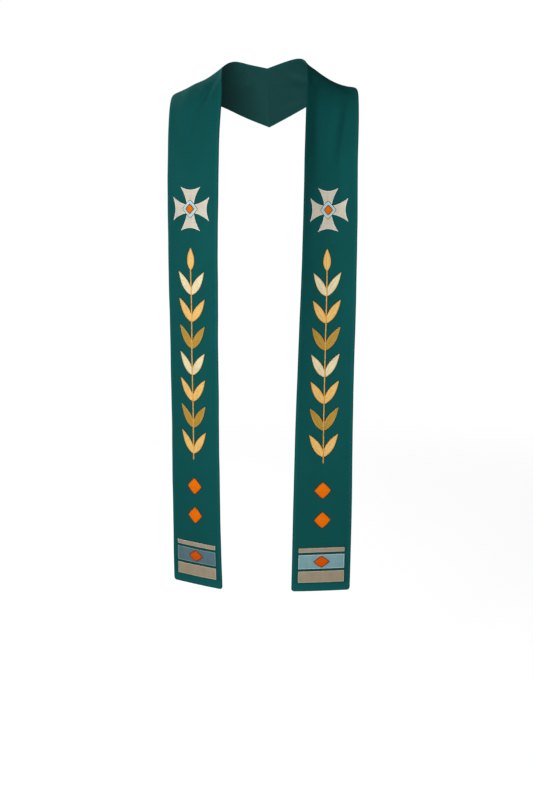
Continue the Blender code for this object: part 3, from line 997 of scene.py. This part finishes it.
@dataclass(frozen=True)
class CrossCut:
    """The cut of a cross whose four arms flare from its middle to hollowed ends."""

    up: float = 0.830
    span: float = 0.092
    arm_end: float = 0.050
    waist: float = 0.019
    end_dip: float = 0.006
    flare: float = 1.7

    def outline(self) -> NestedOutline:
        """Four arms, a quarter turn apart, whose core is each arm's middle line.

        An arm's half breadth grows from half the waist to half the arm's end, as the part of
        the way out to the power of the flare. Its end is hollowed by a half sine wave.

        Returns:
            The outline, anticlockwise.
        """
        inner = self.waist / 2
        outer = self.span / 2
        end = self.arm_end / 2
        side_part = np.linspace(0.0, 1.0, sample_count(outer - inner) + 1)
        breadth = inner + (end - inner) * side_part**self.flare
        x = inner + (outer - inner) * side_part
        end_part = np.linspace(0.0, 1.0, sample_count(self.arm_end) + 1)[1:-1]
        end_x = outer - self.end_dip * np.sin(math.pi * end_part)
        arm = np.concatenate([paired(x, -breadth), paired(end_x, end * (2 * end_part - 1)),
                              paired(x, breadth)[:0:-1]])
        core_x = np.concatenate([side_part, np.ones(len(end_part)), side_part[:0:-1]]) * (outer - end)
        reach = np.concatenate([breadth, np.full(len(end_part), end), breadth[:0:-1]])
        turn = np.arange(4) * math.pi / 2
        spin = np.array([[np.cos(turn), np.sin(turn)], [-np.sin(turn), np.cos(turn)]]).transpose(2, 0, 1)
        outline, core = ((shape @ spin).reshape(-1, 2) + [0.0, self.up]
                         for shape in (arm, paired(core_x, 0.0)))
        return NestedOutline(outline, core, np.tile(reach, 4))


@dataclass(frozen=True)
class LeafCut:
    """The cut of a leaf: widest before its middle, with its midrib as core.

    The core starts and ends where the leaf is core_start border widths broad aside of it.
    """

    length: float = 0.060
    breadth: float = 0.018
    lean: float = 33.0
    stem_gap: float = 0.0003
    core_start: float = 1.25
    place_power: float = 0.8
    round_power: float = 0.9

    def half_breadth(self, part: Array) -> Array:
        """Half the breadth times the sine, to round_power, of pi times part to place_power."""
        return self.breadth / 2 * np.sin(math.pi * part**self.place_power) ** self.round_power

    def outline(self, base: tuple[float, float], hand: int) -> NestedOutline:
        """A leaf that leans out from the stem, or stands upright on it.

        Its inner edge stops at the stem line, and its core is the part of the midrib that
        the border doesn't reach.

        Args:
            base: (across, up) of the leaf's foot.
            hand: 1 where it leans outwards, -1 where it leans inwards, 0 where it stands.

        Returns:
            The outline.
        """
        part = np.linspace(0.0, 1.0, sample_count(self.length) + 1)
        along = part * self.length
        aside = self.half_breadth(part)
        aside[[0, -1]] = 0.0
        inner = aside
        lean = math.radians(self.lean * abs(hand))
        if hand:
            inner = np.clip(along * math.tan(lean) - self.stem_gap, 0.0, aside)
        clear = along[np.minimum(aside, inner) > self.core_start * BORDER_WIDTH]
        core_along = np.clip(along, clear[0], clear[-1])
        local, core, reach = (np.concatenate([there, back[-2:0:-1]]) for there, back in (
            (paired(along, aside), paired(along, -inner)),
            (core_along, core_along),
            (np.interp(core_along, along, aside), np.interp(core_along, along, inner))))
        mirror = np.array([-1.0 if hand < 0 else 1.0, 1.0])
        rib = np.array([math.sin(lean), math.cos(lean)])
        square = np.array([math.cos(lean), -math.sin(lean)])
        outline = (local[:, :1] * rib + local[:, 1:] * square) * mirror + base
        return NestedOutline(outline, core[:, None] * rib * mirror + base, reach)


@dataclass(frozen=True)
class Relief:
    """Heights of an applied piece above what it lies on.

    The border is a half round bead. The fill starts at the wall's height, bulges by dome
    between border and core, and rises or sinks to the core by core_lift. The lower edge is
    cut off by edge_step across and edge_rise up.
    """

    wall: float = 0.0012
    bead: float = 0.0015
    dome: float = 0.0
    core_lift: float = 0.0
    edge_step: float = 0.0001
    edge_rise: float = 0.0002
    under_rows: int = 4
    fill_rows: int = 8

    def profile(self) -> tuple[Array, Array, Array, Array]:
        """The rows from the underside's core round the edge to the top's core.

        The fill's height is the wall's, plus dome times a half sine wave, plus core_lift
        times the part of the way in.

        Returns:
            Each row's step in from the edge, its part of the way from border to core, its
            height, and its finish number: 1 on the border and 0 on the fill.
        """
        turn = np.radians([22.0, 45.0, 68.0, 90.0, 112.0, 135.0, 158.0])
        bead_in = BORDER_WIDTH / 2 * (1 - np.cos(turn))
        bead_height = self.bead * np.sin(turn)
        bead_height[turn > math.pi / 2] = np.maximum(bead_height[turn > math.pi / 2], self.wall)
        part = np.linspace(0.0, 1.0, self.fill_rows)
        fill_height = self.wall + self.dome * np.sin(math.pi * part) + self.core_lift * part
        border_rows = self.under_rows + 2 + len(turn)
        step_in = np.concatenate([np.full(self.under_rows, BORDER_WIDTH), [self.edge_step, 0.0], bead_in,
                                  np.full(self.fill_rows, BORDER_WIDTH)])
        way_in = np.concatenate([np.linspace(1.0, 0.0, self.under_rows), np.zeros(2 + len(turn)), part])
        height = np.concatenate([np.zeros(self.under_rows + 1), [self.edge_rise], bead_height, fill_height])
        finish = (np.arange(len(height)) < border_rows).astype(int)
        return step_in, way_in, height, finish


FLAT = Relief(dome=0.0001)
FACET = Relief(core_lift=0.0006)
RIDGED = Relief(core_lift=0.0004)
PADDED = Relief(dome=0.0005, core_lift=-0.0003)


@dataclass
class AppliedPiece:
    """A cut piece laid on the band: a closed form with a padded satin border."""

    strip: WornStrip
    name: str
    outlines: list[NestedOutline]
    trim: Trim
    relief: Relief
    layer: int = 0

    @property
    def base_lift(self) -> float:
        """Metres from the middle of the band's wall to the piece's underside."""
        return RIM + TOUCH_GAP + self.layer * (self.relief.wall + TOUCH_GAP)

    def build(self) -> bpy.types.Object:
        """Carry the relief's profile round each outline.

        Returns:
            The piece.
        """
        step_in, way_in, height, finish = (row[:, None] for row in self.relief.profile())
        parts = MeshParts()
        for nested in self.outlines:
            cut = nested.rings((1 - step_in / nested.reach) * (1 - way_in))
            points = self.strip.points(cut, self.base_lift + height)
            reach = np.append(nested.reach, nested.reach[0])
            thread = paired(nested.lengths()[None], step_in + way_in * (reach - BORDER_WIDTH))
            parts.add_grid(points, cut, thread, finish[1:], wraps=True)
        node = f"{self.strip.side.value}_{self.name}"
        return parts.build(f"{node}_cloth", [self.trim.fill, self.trim.border], node)


@dataclass(frozen=True)
class Stitch:
    """A short stitch across a line that runs up the strip, and how far apart they stand.

    Its ends lie base metres off the middle of the band's wall, and its middle rises by arch
    over them, below 0 on the inner face. slant is how far up it goes, and blunt is the part
    of its width that is left at its ends, squared.
    """

    radius: float
    base: float
    arch: float
    slant: float
    step: float
    blunt: float = 0.0001


COUCHING_STITCH = Stitch(radius=0.00028, base=RIM, arch=0.002925, slant=0.0008, step=0.006)
SLIP_STITCH = Stitch(radius=0.00022, base=0.0003 - RIM, arch=-0.0006, slant=0.0016, step=0.009)


@dataclass
class LaidThreads:
    """Cords and stitches laid on the cloth, gathered into one piece."""

    strip: WornStrip
    name: str
    finish: ThreadCloth
    parts: MeshParts = field(default_factory=MeshParts)

    def add_cord(self, path: Array, radius: float, lift: float, closed: bool, sides: int,
                 ply: float = 0.0, twist: float = 0.004) -> None:
        """Carry a round or twisted section along a path of the flat cut.

        The section's radius is radius times 1 + ply cos(2 angle - turns), which gives two
        plies that wind once in twist metres. Where the path is open, both ends round off.

        Args:
            path: places in the flat cut, shape (n, 2).
            radius: the cord's radius.
            lift: metres of its centre line off the middle of the band's wall.
            closed: whether the path's end joins its start.
            sides: points round the section.
            ply: how deep the two plies show.
            twist: metres along for one turn.
        """
        if closed:
            path = np.concatenate([path, path[:1]])
        centre = self.strip.points(path, lift)
        normal = self.strip.normals(path, lift)
        if closed:
            tangent = np.roll(centre[:-1], -1, axis=0) - np.roll(centre[:-1], 1, axis=0)
            tangent = np.concatenate([tangent, tangent[:1]])
        else:
            tangent = np.gradient(centre, axis=0)
        aside = np.cross(unit(tangent), normal)
        run = run_along(centre)[:, None]
        angle = np.arange(sides) * 2 * math.pi / sides
        size = radius * (1 + ply * np.cos(2 * angle - 2 * math.pi * run / twist))
        if not closed:
            from_end = np.minimum(run, run[-1] - run)
            size = size * np.sqrt(1 - (1 - np.clip(from_end / radius, 0, 1)) ** 2)
        points = centre[:, None] + size[..., None] * (
            np.cos(angle)[:, None] * normal[:, None] + np.sin(angle)[:, None] * aside[:, None])
        cut = np.broadcast_to(path[:, None], points.shape[:2] + (2,))
        thread = paired(run, radius * np.append(angle, 2 * math.pi))
        self.parts.add_grid(points, cut, thread, wraps=True)

    def add_stitches(self, stitch: Stitch, start: float, end: float, low: float, high: float) -> None:
        """Lay a row of stitches, each a small arched tube that thins towards both ends.

        A stitch rises by its arch times a half sine wave between its ends.

        Args:
            stitch: their size and spacing.
            start: metres across where each starts.
            end: metres across where each ends.
            low: metres up of the first one.
            high: metres up that the row stays below.
        """
        up = np.arange(low, high, stitch.step)
        starts = paired(start, up)
        way = paired(end, up + stitch.slant) - starts
        part = np.linspace(0.0, 1.0, 7)[:, None]
        path = starts[:, None] + way[:, None] * part
        wave = np.sin(math.pi * part[:, 0])
        lift = stitch.base + stitch.arch * wave
        centre = self.strip.points(path, lift)
        tangent = unit(np.gradient(centre, axis=1))
        aside = np.cross(tangent, self.strip.normals(path, lift))
        normal = np.cross(aside, tangent)
        angle = np.arange(6) * math.pi / 3
        size = (stitch.radius * np.sqrt(wave + stitch.blunt))[:, None, None]
        points = centre[:, :, None] + size * (
            np.cos(angle)[:, None] * normal[:, :, None] + np.sin(angle)[:, None] * aside[:, :, None])
        cut = np.broadcast_to(path[:, :, None], points.shape[:3] + (2,))
        thread = paired(part * np.linalg.norm(way, axis=1).mean(), stitch.radius * angle)
        self.parts.add_grid(points, cut, np.broadcast_to(thread, cut.shape), wraps=True)

    def build(self) -> bpy.types.Object:
        """The threads as one piece."""
        return self.parts.build(f"{self.strip.side.value}_{self.name}", [self.finish])


@dataclass(frozen=True)
class HemDesign:
    """Three bands straight across the strip above its hem, with a lozenge on the middle one."""

    width: float = 0.102
    low: tuple[float, float] = (0.020, 0.046)
    middle: tuple[float, float] = (0.051, 0.083)
    high: tuple[float, float] = (0.088, 0.098)
    lozenge: tuple[float, float, float] = (0.067, 0.034, 0.024)

    def pieces(self, strip: WornStrip) -> list[AppliedPiece]:
        """The hem's pieces, the lowest layer first.

        Args:
            strip: the half that they lie on.

        Returns:
            The pieces, not built yet.
        """
        blue = PALE_SLATE if strip.side is Side.LEFT else SLATE
        rows = (("low", self.low, BEIGE), ("middle", self.middle, blue), ("high", self.high, BEIGE))
        bands = [AppliedPiece(strip, f"hem_band_{name}", [rectangle(self.width, *span)], trim, FLAT)
                 for name, span, trim in rows]
        gem = AppliedPiece(strip, "hem_lozenge", [lozenge(*self.lozenge)], DEEP_ORANGE, FACET, layer=1)
        return [*bands, gem]


@dataclass(frozen=True)
class CrossDesign:
    """The cross with two lozenges on it, one on the other, and two below on the strip."""

    cut: CrossCut = CrossCut()
    plate: float = 0.036
    boss: float = 0.019
    low_lozenge_up: float = 0.160
    high_lozenge_up: float = 0.226
    lozenge_size: float = 0.036

    def pieces(self, strip: WornStrip) -> list[AppliedPiece]:
        """The single lozenges, then the cross's pieces from the lowest layer up.

        Args:
            strip: the half that they lie on.

        Returns:
            The pieces, not built yet.
        """
        up = self.cut.up
        rows = (
            ("lozenge_low", self.low_lozenge_up, self.lozenge_size, ORANGE, 0),
            ("lozenge_high", self.high_lozenge_up, self.lozenge_size, ORANGE, 0),
            ("cross_plate", up, self.plate, BLUE, 1),
            ("cross_boss", up, self.boss, ORANGE, 2),
        )
        built = [AppliedPiece(strip, name, [lozenge(place, size, size)], trim, FACET, layer)
                 for name, place, size, trim, layer in rows]
        cross = AppliedPiece(strip, "cross", [self.cut.outline()], CROSS_BEIGE, RIDGED)
        return [*built[:2], cross, *built[2:]]


@dataclass(frozen=True)
class StemDesign:
    """Leaf pairs one above the other on a corded stem, with a bud at its tip."""

    low: float = 0.300
    rise: float = 0.058
    leaf: LeafCut = LeafCut()
    bud: LeafCut = LeafCut(length=0.048)
    bud_up: float = 0.7012
    foot: float = 0.014
    tip: float = 0.001
    trims: tuple[Trim, ...] = (GOLD, OCHRE, GOLD, IVORY, OCHRE, GOLD, IVORY)

    def pieces(self, strip: WornStrip) -> list[AppliedPiece]:
        """The leaf pairs, lowest first, and the bud.

        Args:
            strip: the half that they lie on.

        Returns:
            The pieces, not built yet.
        """
        built = []
        for number, trim in enumerate(self.trims, start=1):
            base = (0.0, self.low + (number - 1) * self.rise)
            leaves = [self.leaf.outline(base, hand) for hand in (1, -1)]
            built.append(AppliedPiece(strip, f"leaf_pair_{number}", leaves, trim, PADDED))
        bud = self.bud.outline((0.0, self.bud_up), 0)
        return [*built, AppliedPiece(strip, "leaf_bud", [bud], GOLD, PADDED)]

    def stem(self, step: float = 0.0008) -> Array:
        """The stem cord's path, from below the lowest leaves to the bud's foot.

        Args:
            step: metres between its points.

        Returns:
            The path's points, (across, up).
        """
        start = self.low - self.foot
        count = round((self.bud_up - start) / step)
        return paired(0.0, np.linspace(start, self.bud_up + self.tip, count))


@dataclass
class StoleHalf:
    """One half of the stole: its band, applied pieces, cords and stitches."""

    strip: WornStrip
    hem: HemDesign = HemDesign()
    cross: CrossDesign = CrossDesign()
    stem: StemDesign = StemDesign()
    outline_radius: float = 0.00055
    outline_gap: float = 0.00045
    outline_sink: float = 0.8
    stem_radius: float = 0.0013
    stem_ply: float = 0.14
    couching_reach: float = 0.00195
    couching_clear: tuple[float, float] = (0.004, 0.002)
    slip_reach: tuple[float, float] = (0.0009, -0.0012)
    slip_clear: float = 0.006

    def build(self) -> None:
        """Build the half: its band, applied pieces, cords and stitches."""
        band = BandShell(self.strip).build()
        designs = [piece for part in (self.hem, self.cross, self.stem) for piece in part.pieces(self.strip)]
        for design in designs:
            piece = design.build()
            outline = np.concatenate([nested.outline for nested in design.outlines])
            area = sum(nested.area() for nested in design.outlines)
        threads = [self.outlining(designs), self.stem_cord(), self.couching(), self.slip_stitches()]

    def outlining(self, designs: list[AppliedPiece]) -> bpy.types.Object:
        """A fine dark cord round every applied piece, where its border meets the cloth. Its dark green is
        the cord's own colour and partly painted shade of the gap there.

        Args:
            designs: the applied pieces.

        Returns:
            All the cords, as one piece.
        """
        threads = LaidThreads(self.strip, "outline_cord", GREEN_THREAD)
        for design in designs:
            lift = design.base_lift + self.outline_radius * self.outline_sink
            for nested in design.outlines:
                path = nested.stepped_in(-self.outline_gap)[::2]
                threads.add_cord(path, self.outline_radius, lift, True, 6)
        return threads.build()

    def stem_cord(self) -> bpy.types.Object:
        """The two-ply cord of the stem.

        Returns:
            The cord.
        """
        threads = LaidThreads(self.strip, "stem_cord", CORD)
        lift = RIM + self.stem_radius
        threads.add_cord(self.stem.stem(), self.stem_radius, lift, False, 14, self.stem_ply)
        return threads.build()

    def couching(self) -> bpy.types.Object:
        """Small stitches over the stem cord, evenly spaced, that hold it down.

        Returns:
            The stitches, as one mesh.
        """
        threads = LaidThreads(self.strip, "couching", COUCHING)
        up = self.stem.stem()[:, 1]
        low = up[0] + self.couching_clear[0]
        high = up[-1] - self.couching_clear[1]
        threads.add_stitches(COUCHING_STITCH, -self.couching_reach, self.couching_reach, low, high)
        return threads.build()

    def slip_stitches(self) -> bpy.types.Object:
        """Hand stitches that hold the lining's folded edge to the turned cloth.

        Returns:
            The stitches, as one mesh.
        """
        threads = LaidThreads(self.strip, "slip_stitches", GREEN_THREAD)
        margin = BandShell(self.strip).lining_margin
        fold = BAND_WIDTH / 2 - margin
        for hand in (1.0, -1.0):
            start, end = (hand * (fold + reach) for reach in self.slip_reach)
            threads.add_stitches(SLIP_STITCH, start, end, margin + self.slip_clear,
                                 self.strip.length - self.slip_clear)
        return threads.build()


def way_to(azimuth: float, elevation: float) -> Vector:
    """The unit vector towards a place round the stole.

    Args:
        azimuth: degrees round from the front towards the wearer's left.
        elevation: degrees up.

    Returns:
        The vector.
    """
    around = math.radians(azimuth)
    above = math.radians(elevation)
    return Vector((math.sin(around) * math.cos(above), -math.cos(around) * math.cos(above), math.sin(above)))


@dataclass(frozen=True)
class SoftBox:
    """A square studio light, at a distance in metres on the way to azimuth and elevation."""

    name: str
    azimuth: float
    elevation: float
    distance: float
    size: float
    power: float

    def place(self, target: Vector) -> None:
        """Put the light up and aim it at the target.

        Args:
            target: the place that it looks at.
        """
        data = bpy.data.lights.new(self.name, "AREA")
        data.energy = self.power
        data.size = self.size
        light = put_up(self.name, data)
        way = way_to(self.azimuth, self.elevation)
        light.location = target + way * self.distance
        light.rotation_euler = (-way).to_track_quat("-Z", "Y").to_euler()
        light.visible_camera = False


@dataclass(frozen=True)
class Studio:
    """A pale floor under an even white sky, soft boxes, and the photograph's camera."""

    floor_drop: float = 1.50
    floor_radius: float = 9.0
    floor_sides: int = 96
    floor_colour: tuple[float, ...] = (0.40, 0.40, 0.405, 1.0)
    floor_glow: float = 0.72
    fade_start: float = 0.5
    fade_end: float = 2.2
    sky_light: float = 0.27
    camera_azimuth: float = 4.5
    camera_distance: float = 2.900
    camera_height: float = -0.130
    camera_tilt: float = 11.9
    camera_yaw: float = 0.03
    lens: float = 57.83
    target: tuple[float, float, float] = (0.0, -0.15, -0.50)
    boxes: tuple[SoftBox, ...] = (
        SoftBox("key_box", -10.0, 5.0, 1.45, 0.7, 19.2),
        SoftBox("left_box", -75.0, 25.0, 3.0, 1.4, 2.5),
        SoftBox("back_box", -130.0, 30.0, 3.2, 1.2, 75.0),
    )

    def build(self) -> None:
        """Build the floor, the sky, the lights and the camera."""
        self.lay_floor()
        self.raise_sky()
        for box in self.boxes:
            box.place(Vector(self.target))
        self.set_camera()
        bpy.context.scene.view_settings.view_transform = "Standard"

    def lay_floor(self) -> None:
        """A round pale floor that fades into the white sky well behind the stole."""
        turn = np.arange(self.floor_sides) * 2 * math.pi / self.floor_sides
        rim = np.column_stack([np.cos(turn), np.sin(turn), np.zeros(self.floor_sides)]) * self.floor_radius
        mesh = bpy.data.meshes.new("studio_floor")
        mesh.from_pydata((rim - [0.0, 0.0, self.floor_drop]).tolist(), [], [tuple(range(self.floor_sides))])
        board = NodeBoard(bpy.data.materials.new("pale_floor"), "Principled BSDF", {
            "Roughness": 0.9, "Specular IOR Level": 0.1, "Base Color": self.floor_colour,
            "Emission Color": WHITE, "Emission Strength": self.floor_glow})
        place = board.add("TexCoord", {}, "Object")
        out = board.add("VectorMath", {0: place}, "Value", operation="LENGTH")
        far = board.rise(out, self.fade_start + self.floor_drop, self.fade_end + self.floor_drop)
        glow = board.add("Emission", {})
        mixed = board.add("MixShader", {0: far, 1: board.base.outputs[0], 2: glow})
        board.feed(board.tree.nodes["Material Output"], {"Surface": mixed})
        mesh.materials.append(board.owner)
        floor = put_up("studio_floor", mesh)
        floor.visible_diffuse = False
        floor.visible_glossy = False

    def raise_sky(self) -> None:
        """A white sky, which lights the stole less than it shows behind it."""
        world = bpy.data.worlds.new("studio_sky")
        bpy.context.scene.world = world
        board = NodeBoard(world, "Background", {"Color": WHITE})
        seen = board.add("LightPath", {}, "Is Camera Ray")
        strength = board.add("MapRange", {"Value": seen, "To Min": self.sky_light, "To Max": 1.0})
        board.feed(board.base, {"Strength": strength})

    def set_camera(self) -> None:
        """Stand the camera where the photograph was taken from."""
        data = bpy.data.cameras.new("photo_camera")
        data.sensor_fit = "VERTICAL"
        data.sensor_height = 36.0
        data.lens = self.lens
        data.clip_end = 60.0
        camera = put_up("photo_camera", data)
        camera.location = way_to(self.camera_azimuth, 0.0) * self.camera_distance
        camera.location.z = self.camera_height
        camera.rotation_euler = (math.radians(90.0 - self.camera_tilt), 0.0,
                                 math.radians(self.camera_azimuth + self.camera_yaw))
        bpy.context.scene.camera = camera


def main() -> None:
    """Dress both halves and set up the studio."""
    logging.basicConfig(level=logging.INFO, format="%(name)s %(message)s")
    strips = (
        WornStrip(Side.LEFT, LEFT_SECTIONS, LEFT_FOLDS + LEFT_CREASES),
        WornStrip(Side.RIGHT, RIGHT_SECTIONS, RIGHT_FOLDS + RIGHT_CREASES),
    )
    for strip in strips:
        LOG.info("%s half: %.3f m along its middle", strip.side.value, strip.length)
        StoleHalf(strip).build()
    Studio().build()


if __name__ == "__main__":
    main()
